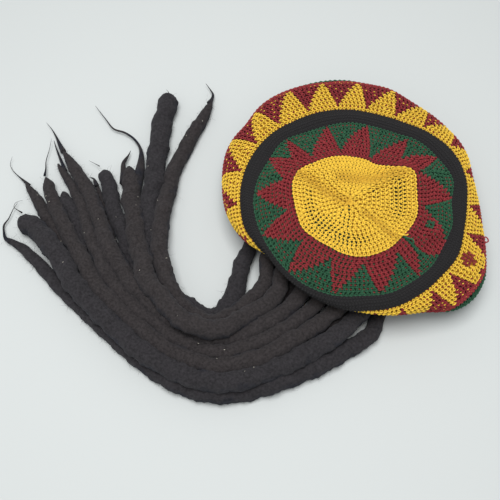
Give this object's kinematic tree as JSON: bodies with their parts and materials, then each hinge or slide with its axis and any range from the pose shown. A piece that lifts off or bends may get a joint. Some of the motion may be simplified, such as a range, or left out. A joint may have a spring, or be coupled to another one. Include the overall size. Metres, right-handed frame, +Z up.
{
  "type": "crocheted tam with locks",
  "caption": "Flat round crocheted tam with a star and zigzag pattern in gold, red, green and black, and long felted locks hanging from its head band.",
  "frame": {"origin": "middle of the whole tam's footprint, on the surface that it rests on", "axes": "+Z up through the crown, +X from the lock tips towards the crown"},
  "size_m": [0.5142, 0.374, 0.0679],
  "materials": {
    "gold_yarn": "matt crocheted yarn",
    "red_yarn": "matt crocheted yarn",
    "green_yarn": "matt crocheted yarn",
    "black_yarn": "matt crocheted yarn",
    "felted_wool": "fuzzy felted rope"
  },
  "bodies": {
    "root": {"gold_centre": "gold_yarn", "red_star": "red_yarn", "green_field": "green_yarn", "black_ring": "black_yarn", "gold_zigzag": "gold_yarn", "red_zigzag": "red_yarn", "green_under": "green_yarn", "head_band": "black_yarn", "lock_01": "felted_wool", "lock_02": "felted_wool", "lock_03": "felted_wool", "lock_04": "felted_wool", "lock_05": "felted_wool", "lock_06": "felted_wool", "lock_07": "felted_wool", "lock_08": "felted_wool", "lock_09": "felted_wool", "lock_10": "felted_wool", "lock_11": "felted_wool", "lock_12": "felted_wool"}
  },
  "joints": []
}
